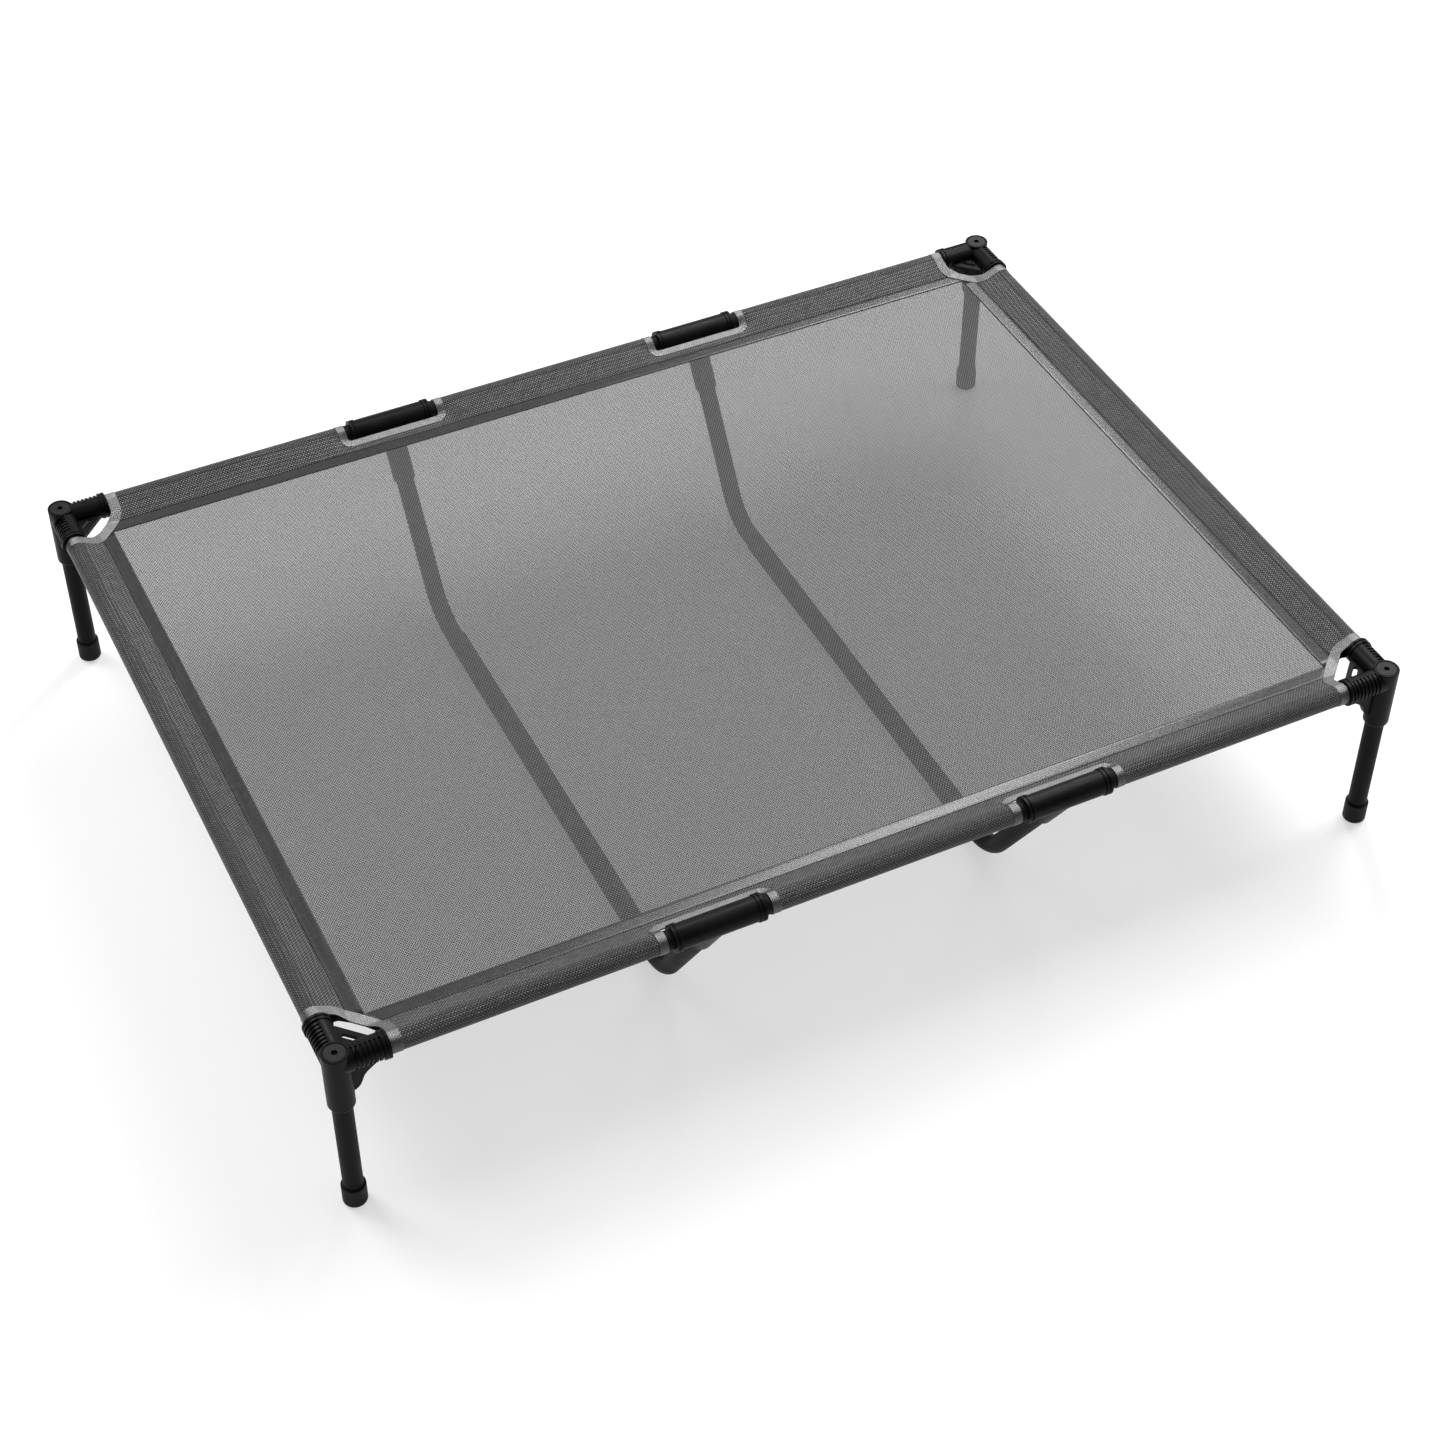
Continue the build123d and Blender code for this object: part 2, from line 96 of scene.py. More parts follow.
class Graph:
    """One material's node tree, built with short calls."""

    def __init__(self, name, **sockets):
        self.material = bpy.data.materials.new(f"{name}_finish")
        self.material.use_nodes = True
        self.nodes = self.material.node_tree.nodes
        self.links = self.material.node_tree.links
        self.shader = self.nodes["Principled BSDF"]
        for socket, value in sockets.items():
            self.shader.inputs[socket.replace("_", " ")].default_value = value

    def feed(self, socket, value):
        if isinstance(value, bpy.types.NodeSocket):
            self.links.new(value, socket)
        else:
            socket.default_value = value

    def math(self, operation, first, second=0.0, clamp=False):
        node = self.nodes.new("ShaderNodeMath")
        node.operation = operation
        node.use_clamp = clamp
        self.feed(node.inputs[0], first)
        self.feed(node.inputs[1], second)
        return node.outputs[0]

    def total(self, *values):
        result = values[0]
        for value in values[1:]:
            result = self.math("ADD", result, value)
        return result

    def product(self, *values):
        result = values[0]
        for value in values[1:]:
            result = self.math("MULTIPLY", result, value)
        return result

    def remap(self, value, from_low, from_high, to_low, to_high):
        """Linear map, held at its ends."""
        node = self.nodes.new("ShaderNodeMapRange")
        for socket, number in zip(node.inputs, (value, from_low, from_high, to_low, to_high)):
            self.feed(socket, number)
        return node.outputs[0]

    def noise(self, scale, detail=3.0, stretch=(1, 1, 1), roughness=0.5, vector=None):
        """Noise in object coordinates, or in a given vector's, from 0 to 1."""
        mapping = self.nodes.new("ShaderNodeMapping")
        mapping.inputs["Scale"].default_value = stretch
        if vector is None:
            vector = self.nodes.new("ShaderNodeTexCoord").outputs["Object"]
        self.links.new(vector, mapping.inputs["Vector"])
        node = self.nodes.new("ShaderNodeTexNoise")
        node.inputs["Scale"].default_value = scale
        node.inputs["Detail"].default_value = detail
        node.inputs["Roughness"].default_value = roughness
        self.links.new(mapping.outputs[0], node.inputs["Vector"])
        return node.outputs["Fac"]

    def blend(self, factor, first, second):
        """Mix of two colours, each a grey or three numbers."""
        node = self.nodes.new("ShaderNodeMix")
        node.data_type = "RGBA"
        self.feed(node.inputs["Factor"], factor)
        for socket, colour in zip((node.inputs[6], node.inputs[7]), (first, second)):
            if isinstance(colour, (int, float)):
                colour = (colour, colour, colour)
            self.feed(socket, colour if isinstance(colour, bpy.types.NodeSocket) else (*colour, 1))
        return node.outputs[2]

    def bump(self, height, distance, strength=1.0, normal=None):
        node = self.nodes.new("ShaderNodeBump")
        node.inputs["Distance"].default_value = distance
        node.inputs["Strength"].default_value = strength
        self.links.new(height, node.inputs["Height"])
        if normal is not None:
            self.links.new(normal, node.inputs["Normal"])
        return node.outputs[0]

    def output(self, **sockets):
        """Links what varies to the shader's sockets."""
        for socket, value in sockets.items():
            self.links.new(value, self.shader.inputs[socket.replace("_", " ")])
        return self.material


UV = "cloth"
BLACK = (0.0, 0.0, 0.0)
# The fine lines along a hem are painted highlight lines.
SHEEN_LINE_STEP = 0.0048          # distance between the fine lines along a hem
# Along the cloth, from the weld line to where the cloth meets the rail.
HEM_SLOPE = sqrt(HEM_WIDTH**2 + (PANEL_Z - RAIL_Z + LAYER) ** 2 - HEM_R**2)


def cloth_vector(graph):
    """The cloth's own coordinates, in metres."""
    uv = graph.nodes.new("ShaderNodeUVMap")
    uv.uv_map = UV
    return uv.outputs[0]


def cloth_place(graph):
    """The same coordinates apart: along a side, and across it."""
    split = graph.nodes.new("ShaderNodeSeparateXYZ")
    graph.links.new(cloth_vector(graph), split.inputs[0])
    return split.outputs[0], split.outputs[1]


def leaning_normal(graph, lean_x, lean_y):
    """Normal of a surface that leans along each of the cloth's own directions."""
    colour = graph.nodes.new("ShaderNodeCombineXYZ")
    for socket, lean in zip(colour.inputs, (lean_x, lean_y)):
        graph.links.new(graph.math("MULTIPLY_ADD", lean, 0.5), socket)
        socket.links[0].from_node.inputs[2].default_value = 0.5
    colour.inputs[2].default_value = 0.9
    normal = graph.nodes.new("ShaderNodeNormalMap")
    normal.uv_map = UV
    graph.links.new(colour.outputs[0], normal.inputs["Color"])
    return normal.outputs[0]


def yarn_dashes(graph, across, along):
    """A seeded number from 0 to 1 for each short diagonal row of crossings."""
    column, row = graph.math("FLOOR", across), graph.math("FLOOR", along)
    diagonal = graph.math("FLOOR", graph.product(graph.total(column, row), 1 / 2))
    step = graph.math("FLOOR", graph.product(graph.math("SUBTRACT", column, row), 1 / 5))
    cell = graph.nodes.new("ShaderNodeCombineXYZ")
    graph.links.new(diagonal, cell.inputs[0])
    graph.links.new(step, cell.inputs[1])
    dash = graph.nodes.new("ShaderNodeTexWhiteNoise")
    dash.noise_dimensions = "2D"
    graph.links.new(cell.outputs[0], dash.inputs["Vector"])
    return dash.outputs["Value"]


def weave(graph, width_x, width_y, round_yarn=0.75, crimp=0.45):
    """Plain weave over the cloth's own coordinates.

    Gives how much of the cloth is yarn, the light on the upper yarns' crowns, a number that
    differs from place to place in the weave, where the yarns that run across the side are on
    top, and the normal."""
    place = cloth_place(graph)
    across = graph.math("DIVIDE", place[0], YARN_X)
    along = graph.math("DIVIDE", place[1], YARN_Y)
    wave_across = graph.math("SINE", graph.math("MULTIPLY", across, pi))
    wave_along = graph.math("SINE", graph.math("MULTIPLY", along, pi))

    def from_axis(value, width):
        """From -1 to 1 across a yarn."""
        fraction = graph.math("SUBTRACT", graph.math("FRACT", value), 0.5)
        return graph.math("MULTIPLY", fraction, 2 / width)

    side_x = from_axis(across, width_x)
    side_y = from_axis(along, width_y)
    on_x = graph.math("LESS_THAN", graph.math("ABSOLUTE", side_x), 1.0)
    on_y = graph.math("LESS_THAN", graph.math("ABSOLUTE", side_y), 1.0)
    parity = graph.math("MULTIPLY", wave_across, wave_along)
    over = graph.math("GREATER_THAN", parity, 0.0)
    upper_x = graph.product(on_x, graph.math("MAXIMUM", over, graph.math("SUBTRACT", 1.0, on_y)))
    upper_y = graph.product(on_y, graph.math("SUBTRACT", 1.0, upper_x))
    cover = graph.math("MAXIMUM", on_x, on_y)

    def slope(wave, value):
        """How a yarn leans along its own length as it goes over and under."""
        swing = graph.math("COSINE", graph.math("MULTIPLY", value, pi))
        return graph.product(graph.math("SIGN", wave), swing, crimp)

    lean_x = graph.total(
        graph.product(upper_x, side_x, round_yarn),
        graph.product(upper_y, slope(wave_along, across)),
    )
    lean_y = graph.total(
        graph.product(upper_y, side_y, round_yarn),
        graph.product(upper_x, graph.math("MULTIPLY", slope(wave_across, along), -1.0)),
    )
    normal = leaning_normal(graph, lean_x, lean_y)

    height = graph.math("ABSOLUTE", parity)
    sign_x = graph.math("SUBTRACT", graph.product(over, 2.0), 1.0)
    own_sign = graph.math("SUBTRACT", graph.product(upper_x, sign_x), graph.product(upper_y, sign_x))
    # crown_light is painted light on the crowns of the upper yarns and painted shade where they dip.
    crown_light = graph.remap(graph.product(height, own_sign), -0.6, 0.9, 0.0, 1.0)

    return cover, crown_light, yarn_dashes(graph, across, along), upper_x, normal


def mesh_material():
    """The single layer: grey coated yarns with open holes between them."""
    graph = Graph("open_mesh", Roughness=0.42, Specular_IOR_Level=0.5)
    cover, crown_light, dash, crossing, normal = weave(graph, 0.57, 0.60)
    cloud = graph.noise(7.0, detail=4.0)
    # The crowns carry painted highlights and the dips painted shade.
    tone = graph.product(
        graph.remap(crown_light, 0.0, 1.0, 0.15, 1.65),
        graph.remap(crossing, 0.0, 1.0, 1.85, 0.15),
        graph.remap(dash, 0.0, 1.0, 0.8, 1.2),
        graph.remap(cloud, 0.3, 0.7, 0.95, 1.05),
    )
    colour = graph.blend(graph.math("MULTIPLY", tone, 0.4), BLACK, (0.140, 0.140, 0.144))
    return graph.output(Base_Color=colour, Alpha=cover, Normal=normal)


def streaks(graph, scale, stretch=14.0):
    """Patches drawn out along the side, over the cloth's own coordinates."""
    return graph.noise(scale, detail=4.0, stretch=(1, stretch, 1), vector=cloth_vector(graph))


def sheen_lines(graph, along, run, spacing):
    """Painted highlight lines along a hem, where light catches the yarns of the two layers on slight
    folds, from -1 to 1, with painted shade between them. They drift slowly along a side, and are clear
    only in places."""
    place = graph.nodes.new("ShaderNodeCombineXYZ")
    graph.links.new(along, place.inputs[0])
    drift = graph.noise(6.0, detail=2.0, vector=place.outputs[0])
    clear = graph.remap(graph.noise(5.0, detail=1.0, vector=cloth_vector(graph)), 0.42, 0.60, 0.2, 1.0)
    turns = graph.total(graph.product(run, 1 / spacing), graph.product(drift, 4.0))
    return graph.product(graph.math("SINE", graph.product(turns, 2 * pi)), clear)


def crease(graph, run, place, width):
    """1 away from a line across the cloth, 0 on it."""
    away = graph.math("ABSOLUTE", graph.math("SUBTRACT", run, place))
    return graph.remap(away, 0.3 * width, width, 0.0, 1.0)


def hem_material():
    """Two layers of the same cloth over a black rail: bright yarns with dark gaps between them, the
    gaps painted near black for the black tube beneath and as painted shade between the layers.
    """
    graph = Graph("hem_cloth", Specular_IOR_Level=0.4)
    cover, crown_light, dash, crossing, normal = weave(graph, 0.62, 0.66, crimp=0.6)
    along, run = cloth_place(graph)
    cloud = streaks(graph, 22.0)
    # line_sheen: painted highlight lines along the hem, with painted shade between them.
    line_sheen = graph.remap(sheen_lines(graph, along, run, SHEEN_LINE_STEP), -0.2, 1.0, -0.35, 0.85)
    # Darker over the rail: partly the black tube showing through the cloth, partly painted shade.
    on_rail = graph.remap(run, HEM_SLOPE - 0.002, HEM_SLOPE + 0.004, 1.0, 0.50)
    # crease_shade is a painted dark line of shade in the crease where the slope meets the rail.
    crease_shade = graph.remap(crease(graph, run, HEM_SLOPE - 0.0005, 0.0016), 0.0, 1.0, 0.35, 1.0)
    # The crowns carry painted highlights and the dips painted shade, near black.
    tone = graph.product(
        graph.remap(crown_light, 0.0, 1.0, 0.02, 1.75),
        graph.remap(crossing, 0.0, 1.0, 1.85, 0.15),
        graph.remap(dash, 0.0, 1.0, 0.75, 1.25),
        graph.remap(cloud, 0.3, 0.7, 0.75, 1.25),
        graph.total(1.0, graph.product(line_sheen, graph.remap(on_rail, 0.50, 1.0, 0.8, 1.0))),
        on_rail,
        crease_shade,
    )
    yarn_colour = graph.blend(graph.math("MULTIPLY", tone, 0.3), BLACK, (0.225, 0.225, 0.232))
    # The gaps are painted near black: over the rail for the black tube beneath, on the slopes as
    # painted shade between the layers.
    colour = graph.blend(cover, 0.003, yarn_colour)
    roughness = graph.remap(cloud, 0.3, 0.7, 0.36, 0.48)
    return graph.output(Base_Color=colour, Roughness=roughness, Normal=normal)


def tape_material():
    """Cloth melted flat by the weld: smooth and satin, with the weave printed through faintly as
    painted light and shade, and a painted line of shade along both edges, where the band meets the
    cloth."""
    graph = Graph("weld_tape", Specular_IOR_Level=0.43)
    _, crown_light, dash, crossing, normal = weave(graph, 0.80, 0.80, round_yarn=0.06, crimp=0.05)
    run = cloth_place(graph)[1]
    cloud = streaks(graph, 16.0)
    # edge_shade: a painted dark line of shade along both edges of the band.
    edge_shade = graph.product(crease(graph, run, 0.0, 0.0011), crease(graph, run, TAPE_WIDTH, 0.0013))
    # The printed-through weave is painted light on its crowns and painted shade at its dips.
    tone = graph.product(
        graph.remap(crown_light, 0.0, 1.0, 0.7, 1.3),
        graph.remap(crossing, 0.0, 1.0, 1.2, 0.8),
        graph.remap(dash, 0.0, 1.0, 0.8, 1.2),
        graph.remap(cloud, 0.3, 0.7, 0.85, 1.15),
        graph.remap(edge_shade, 0.0, 1.0, 0.1, 1.0),
    )
    colour = graph.blend(graph.math("MULTIPLY", tone, 0.5), BLACK, (0.032, 0.032, 0.034))
    satin = graph.remap(cloud, 0.3, 0.7, 0.20, 0.27)
    roughness = graph.math("MAXIMUM", satin, graph.remap(edge_shade, 0.0, 1.0, 0.95, 0.0))
    return graph.output(Base_Color=colour, Roughness=roughness, Normal=normal)


def binding_material():
    """Shiny woven tape, welded over the cut edges, with painted light and shade: pale where it lies
    flat, facing up, and painted dark where it turns away, round a rail."""
    graph = Graph("edge_binding", Specular_IOR_Level=0.8)
    facing = graph.nodes.new("ShaderNodeSeparateXYZ")
    graph.links.new(graph.nodes.new("ShaderNodeTexCoord").outputs["Normal"], facing.inputs[0])
    # Painted light and shade: pale where the binding faces up, dark where it turns away round a rail.
    flat = graph.remap(facing.outputs[2], 0.78, 0.97, 0.12, 1.0)
    _, crown_light, dash, crossing, normal = weave(graph, 0.85, 0.85, round_yarn=0.26, crimp=0.20)
    cloud = graph.noise(40.0, detail=5.0)
    # The crowns carry painted highlights and the dips painted shade.
    tone = graph.product(
        graph.remap(crown_light, 0.0, 1.0, 0.6, 1.3),
        graph.remap(crossing, 0.0, 1.0, 1.3, 0.7),
        graph.remap(dash, 0.0, 1.0, 0.8, 1.2),
        graph.remap(cloud, 0.3, 0.7, 0.9, 1.1),
        flat,
    )
    colour = graph.blend(graph.math("MULTIPLY", tone, 0.5), BLACK, (0.26, 0.26, 0.27))
    roughness = graph.remap(cloud, 0.3, 0.7, 0.28, 0.38)
    return graph.output(Base_Color=colour, Roughness=roughness, Normal=normal)


def plastic_material():
    """Satin black moulded plastic with a fine spark-eroded grain and faint flow marks."""
    graph = Graph("moulded_plastic", Specular_IOR_Level=0.10)
    grain = graph.noise(2600.0, detail=2.0)
    flow = graph.noise(60.0, detail=4.0)
    rub = graph.noise(420.0, detail=5.0, roughness=0.65)
    tone = graph.total(graph.remap(flow, 0.3, 0.7, 0.0, 0.5), graph.remap(rub, 0.62, 0.8, 0.0, 0.5))
    colour = graph.blend(tone, (0.0015, 0.0015, 0.0016), (0.006, 0.006, 0.0063))
    roughness = graph.remap(flow, 0.3, 0.7, 0.34, 0.46)
    normal = graph.bump(grain, 0.00005, 0.25)
    return graph.output(Base_Color=colour, Roughness=roughness, Normal=normal)


def tube_material():
    """Matt black powder coat: slightly pebbled, a little lighter where it has been handled."""
    graph = Graph("coated_tube", Specular_IOR_Level=0.08)
    pebble = graph.noise(1500.0, detail=2.0)
    patch = graph.noise(35.0, detail=5.0)
    handled = graph.remap(patch, 0.35, 0.7, 0.0, 1.0)
    colour = graph.blend(handled, (0.003, 0.003, 0.0032), (0.007, 0.007, 0.0073))
    roughness = graph.remap(patch, 0.3, 0.7, 0.46, 0.58)
    normal = graph.bump(pebble, 0.00012, 0.6)
    return graph.output(Base_Color=colour, Roughness=roughness, Normal=normal)


def rubber_material():
    """Soft black rubber, dusty where it meets the floor."""
    graph = Graph("foot_rubber", Specular_IOR_Level=0.15)
    grain = graph.noise(1800.0, detail=3.0)
    patch = graph.noise(90.0, detail=5.0)
    place = graph.nodes.new("ShaderNodeTexCoord")
    split = graph.nodes.new("ShaderNodeSeparateXYZ")
    graph.links.new(place.outputs["Object"], split.inputs[0])
    dust = graph.product(graph.remap(split.outputs[2], 0.0, 0.005, 1.0, 0.0), patch)
    colour = graph.blend(dust, (0.008, 0.008, 0.008), (0.09, 0.085, 0.08))
    roughness = graph.remap(patch, 0.3, 0.7, 0.55, 0.72)
    normal = graph.bump(grain, 0.00008, 0.6)
    return graph.output(Base_Color=colour, Roughness=roughness, Normal=normal)


def bolt_material():
    """Black-finished screw head, turned, with fine rings round its axis."""
    graph = Graph("bolt_black", Metallic=0.15, Specular_IOR_Level=0.2)
    patch = graph.noise(220.0, detail=5.0)
    scratch = graph.noise(900.0, detail=2.0, stretch=(1, 0.06, 1))
    worn = graph.remap(patch, 0.35, 0.7, 0.0, 1.0)
    colour = graph.blend(worn, (0.006, 0.006, 0.0062), (0.014, 0.014, 0.0145))
    roughness = graph.remap(patch, 0.3, 0.7, 0.36, 0.5)
    normal = graph.bump(scratch, 0.00003, 0.5)
    return graph.output(Base_Color=colour, Roughness=roughness, Normal=normal)


def insert_material():
    """Plain black nylon of the threaded plug inside a leg."""
    graph = Graph("insert_plastic", Specular_IOR_Level=0.4)
    patch = graph.noise(300.0, detail=4.0)
    colour = graph.blend(patch, (0.02, 0.02, 0.02), (0.035, 0.035, 0.036))
    roughness = graph.remap(patch, 0.3, 0.7, 0.5, 0.65)
    return graph.output(Base_Color=colour, Roughness=roughness)


# The record's material slots, and the slot of each kind of CAD node that keeps its own shape.
FINISHES = {
    "moulded_plastic": plastic_material(),
    "coated_tube": tube_material(),
    "foot_rubber": rubber_material(),
    "bolt_black": bolt_material(),
    "insert_plastic": insert_material(),
    "open_mesh": mesh_material(),
    "hem_cloth": hem_material(),
    "weld_tape": tape_material(),
    "edge_binding": binding_material(),
}
NODE_SLOTS = {
    "corner_connector": "moulded_plastic",
    "tee_connector": "moulded_plastic",
    "leg_bolt": "bolt_black",
    "leg_insert": "insert_plastic",
    "foot_cap": "foot_rubber",
}


# ---------------------------------------------------------------- shape of the stretched cloth


def smooth(values):
    """0 to 1 with level ends."""
    held = np.clip(values, 0.0, 1.0)
    return held * held * (3 - 2 * held)


class Section:
    """Across a hem: from the weld up over the rail, round it, and back to the weld below.

    `run` is the distance along the cloth from the upper weld line. Below 0, and past the
    section's length, the cloth goes on flat, away from the rail."""

    def __init__(self):
        drop = PANEL_Z - RAIL_Z
        self.weld = (np.array((HEM_WIDTH, drop + LAYER)), np.array((HEM_WIDTH, drop - LAYER)))
        towards = [atan2(point[1], point[0]) for point in self.weld]
        away = [hypot(*point) for point in self.weld]
        open_half = [acos(HEM_R / reach) for reach in away]
        self.start = towards[0] + open_half[0]
        self.end = towards[1] - open_half[1] + 2 * pi
        self.slope = [sqrt(reach**2 - HEM_R**2) for reach in away]
        self.bend = HEM_R * (self.end - self.start)
        self.length = self.slope[0] + self.bend + self.slope[1]
        self.tangent = [HEM_R * np.array((cos(turn), sin(turn))) for turn in (self.start, self.end)]

    def run_at(self, reach, below=False):
        """Run at a distance from the rail's axis, on the upper or the lower slope."""
        part = (HEM_WIDTH - reach) / (HEM_WIDTH - self.tangent[int(below)][0])
        if below:
            return self.length - part * self.slope[1]
        return part * self.slope[0]

    def at(self, run):
        """Distance from the rail's axis, and height above it."""
        run = np.asarray(run, float)
        up = np.clip(run / self.slope[0], 0, 1)
        turn = self.start + np.clip(run - self.slope[0], 0, self.bend) / HEM_R
        down = np.clip((run - self.slope[0] - self.bend) / self.slope[1], 0, 1)
        out = np.minimum(run, 0), np.maximum(run - self.length, 0)
        rising = self.weld[0] + up[..., None] * (self.tangent[0] - self.weld[0])
        round_rail = HEM_R * np.stack((np.cos(turn), np.sin(turn)), -1)
        falling = self.tangent[1] + down[..., None] * (self.weld[1] - self.tangent[1])
        point = np.where((run < self.slope[0])[..., None], rising, round_rail)
        point = np.where((run > self.slope[0] + self.bend)[..., None], falling, point)
        point[..., 0] += out[1] - out[0]
        return point


SECTION = Section()


class Side:
    """One side of the bed: where its rail runs, and the cloth over it."""

    def __init__(self, name, along, inward, half, reach, tees=()):
        self.name = name
        self.along = np.array(along, float)
        self.inward = np.array(inward, float)
        self.half = half
        self.origin = -reach * self.inward + np.array((0, 0, RAIL_Z))
        self.tees = tees

    def flatten(self, along, reach, height, upper):
        """Beside a tee the rail doesn't lift the cloth, so it lies lower, level with its notch."""
        level = FLAP_RISE + (LAYER if upper else -LAYER)
        weld = SECTION.weld[0 if upper else 1][1]
        part = (reach - NOTCH_DEPTH) / (HEM_WIDTH - NOTCH_DEPTH)
        flap = level + part * (weld - level)
        start = SECTION.tangent[0 if upper else 1][0]
        share = smooth((reach - start) / (NOTCH_DEPTH - start)) * (reach < HEM_WIDTH)
        near = np.zeros_like(along)
        for tee in self.tees:
            past = (np.abs(along - tee) - NOTCH_HALF) / NOTCH_FADE
            near = np.maximum(near, 1 - smooth(past))
        return height + near * share * (flap - height)

    def surface(self, along, run):
        """Points of the cloth's outside. `along` is measured from the middle of the side."""
        along, run = np.broadcast_arrays(np.asarray(along, float), np.asarray(run, float))
        section = SECTION.at(run)
        reach, height = section[..., 0], section[..., 1]
        if self.tees:
            upper = run < SECTION.slope[0]
            lower = run > SECTION.slope[0] + SECTION.bend
            height = np.where(upper, self.flatten(along, reach, height, True), height)
            height = np.where(lower, self.flatten(along, reach, height, False), height)
        return (
            self.origin
            + along[..., None] * self.along
            + reach[..., None] * self.inward
            + height[..., None] * np.array((0, 0, 1))
        )

    def normal(self, along, run):
        """The cloth's outward normals."""
        step = 0.0004
        with_along = self.surface(along + step, run) - self.surface(along - step, run)
        with_run = self.surface(along, run + step) - self.surface(along, run - step)
        normals = np.cross(with_run, with_along)
        return normals / np.linalg.norm(normals, axis=-1, keepdims=True)


SIDES = {
    "front": Side("front", (1, 0, 0), (0, 1, 0), HALF_X, HALF_Y, (-TEE_X, TEE_X)),
    "right": Side("right", (0, 1, 0), (-1, 0, 0), HALF_Y, HALF_X),
    "rear": Side("rear", (-1, 0, 0), (0, -1, 0), HALF_X, HALF_Y, (-TEE_X, TEE_X)),
    "left": Side("left", (0, -1, 0), (1, 0, 0), HALF_Y, HALF_X),
}


# Each corner is between the end of one side and the start of the next.
CORNERS = (
    ("left", "front", "front_left"),
    ("front", "right", "front_right"),
    ("right", "rear", "rear_right"),
    ("rear", "left", "rear_left"),
)


def cut_edge(reach):
    """Corner cut-out: its distance from the post along a rail, at a distance in from that rail."""
    lead = CUT_ROUND * (sqrt(2) - 1)
    middle = (CUT_STRAIGHT - CUT_ROUND, CUT_TURN - lead)
    arc = middle[0] + np.sqrt(np.clip(CUT_ROUND**2 - (reach - middle[1]) ** 2, 0, None))
    edge = np.where(reach < middle[1], CUT_STRAIGHT, arc)
    return np.where(reach > CUT_TURN + lead * sqrt(0.5), CUT_STRAIGHT + CUT_TURN - reach, edge)


# ---------------------------------------------------------------- mesh building


def grid_faces(rows, columns):
    """Quads of a grid whose vertices are numbered row by row."""
    return [
        (
            row * columns + column,
            (row + 1) * columns + column,
            (row + 1) * columns + column + 1,
            row * columns + column + 1,
        )
        for row in range(rows - 1)
        for column in range(columns - 1)
    ]


def make_piece(name, points, faces, uvs, slot, closed=True):
    """A smooth mesh with its cloth coordinates, riding on the frame."""
    mesh = bpy.data.meshes.new(name)
    mesh.from_pydata([tuple(point) for point in points.reshape(-1, 3)], [], faces)
    corners = np.array([corner for face in faces for corner in face])
    layer = mesh.uv_layers.new(name=UV)
    layer.data.foreach_set("uv", uvs.reshape(-1, 2)[corners].astype(np.float32).ravel())
    edit = bmesh.new()
    edit.from_mesh(mesh)
    bmesh.ops.delete(edit, geom=[v for v in edit.verts if not v.link_faces], context="VERTS")
    bmesh.ops.remove_doubles(edit, verts=edit.verts, dist=1e-6)
    if closed:
        bmesh.ops.recalc_face_normals(edit, faces=edit.faces)
    edit.to_mesh(mesh)
    edit.free()
    mesh.polygons.foreach_set("use_smooth", [True] * len(mesh.polygons))
    mesh.materials.append(FINISHES[slot])
    piece = bpy.data.objects.new(name, mesh)
    bpy.context.scene.collection.objects.link(piece)
    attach(piece, "frame")
    return piece


def spans(*stops):
    """Numbers from stop to stop. Each stop is a number and the steps from it to the next."""
    values = []
    for (start, steps), (end, _) in zip(stops, stops[1:]):
        values.extend(np.linspace(start, end, steps, endpoint=False))
    return np.array(values + [stops[-1][0]])


# ---------------------------------------------------------------- hems


def hem_columns(side):
    """Places along a side where its hem's mesh is cut, closer together beside a notch."""
    inner = side.half - 0.075
    if not side.tees:
        return spans((-inner, 80), (inner, 0))
    fade = NOTCH_HALF + NOTCH_FADE
    stops = [(-inner, 14)]
    for tee in side.tees:
        stops += [(tee - fade, 8), (tee - NOTCH_HALF, 14), (tee + NOTCH_HALF, 8), (tee + fade, 14)]
    return spans(*stops, (inner, 0))


def hem(side):
    """Sleeve of cloth round a rail, open beside each tee and at the corners."""
    upper_notch = SECTION.run_at(NOTCH_DEPTH)
    lower_notch = SECTION.run_at(NOTCH_DEPTH, below=True)
    bend_end = SECTION.slope[0] + SECTION.bend
    runs = spans(
        (0, 8), (upper_notch, 6), (SECTION.slope[0], 22), (bend_end, 6), (lower_notch, 8),
        (SECTION.length, 0),
    )
    columns = hem_columns(side)
    end = side.half - cut_edge(SECTION.at(runs)[:, 0])
    tail = columns[-1] + (end[:, None] - columns[-1]) * np.linspace(0, 1, 10)[1:]
    along = np.concatenate((-tail[:, ::-1], np.repeat(columns[None, :], len(runs), 0), tail), 1)
    across = np.repeat(runs[:, None], along.shape[1], 1)
    middle_along = (along[:-1, :-1] + along[1:, 1:]) / 2
    middle_run = (across[:-1, :-1] + across[1:, 1:]) / 2
    cut = np.zeros(middle_run.shape, bool)
    for tee in side.tees:
        cut |= np.abs(middle_along - tee) < NOTCH_HALF
    cut &= (middle_run > upper_notch) & (middle_run < lower_notch)
    faces = [face for face, gone in zip(grid_faces(*along.shape), cut.ravel()) if not gone]
    uvs = np.stack((along, across), -1)
    points = side.surface(along, across)
    piece = make_piece(f"hem_cloth_{side.name}", points, faces, uvs, "hem_cloth", closed=False)
    modifier = piece.modifiers.new("thickness", "SOLIDIFY")
    modifier.thickness = HEM_THICK
    modifier.offset = -1
    modifier.use_even_offset = True
    return piece


# ---------------------------------------------------------------- bindings


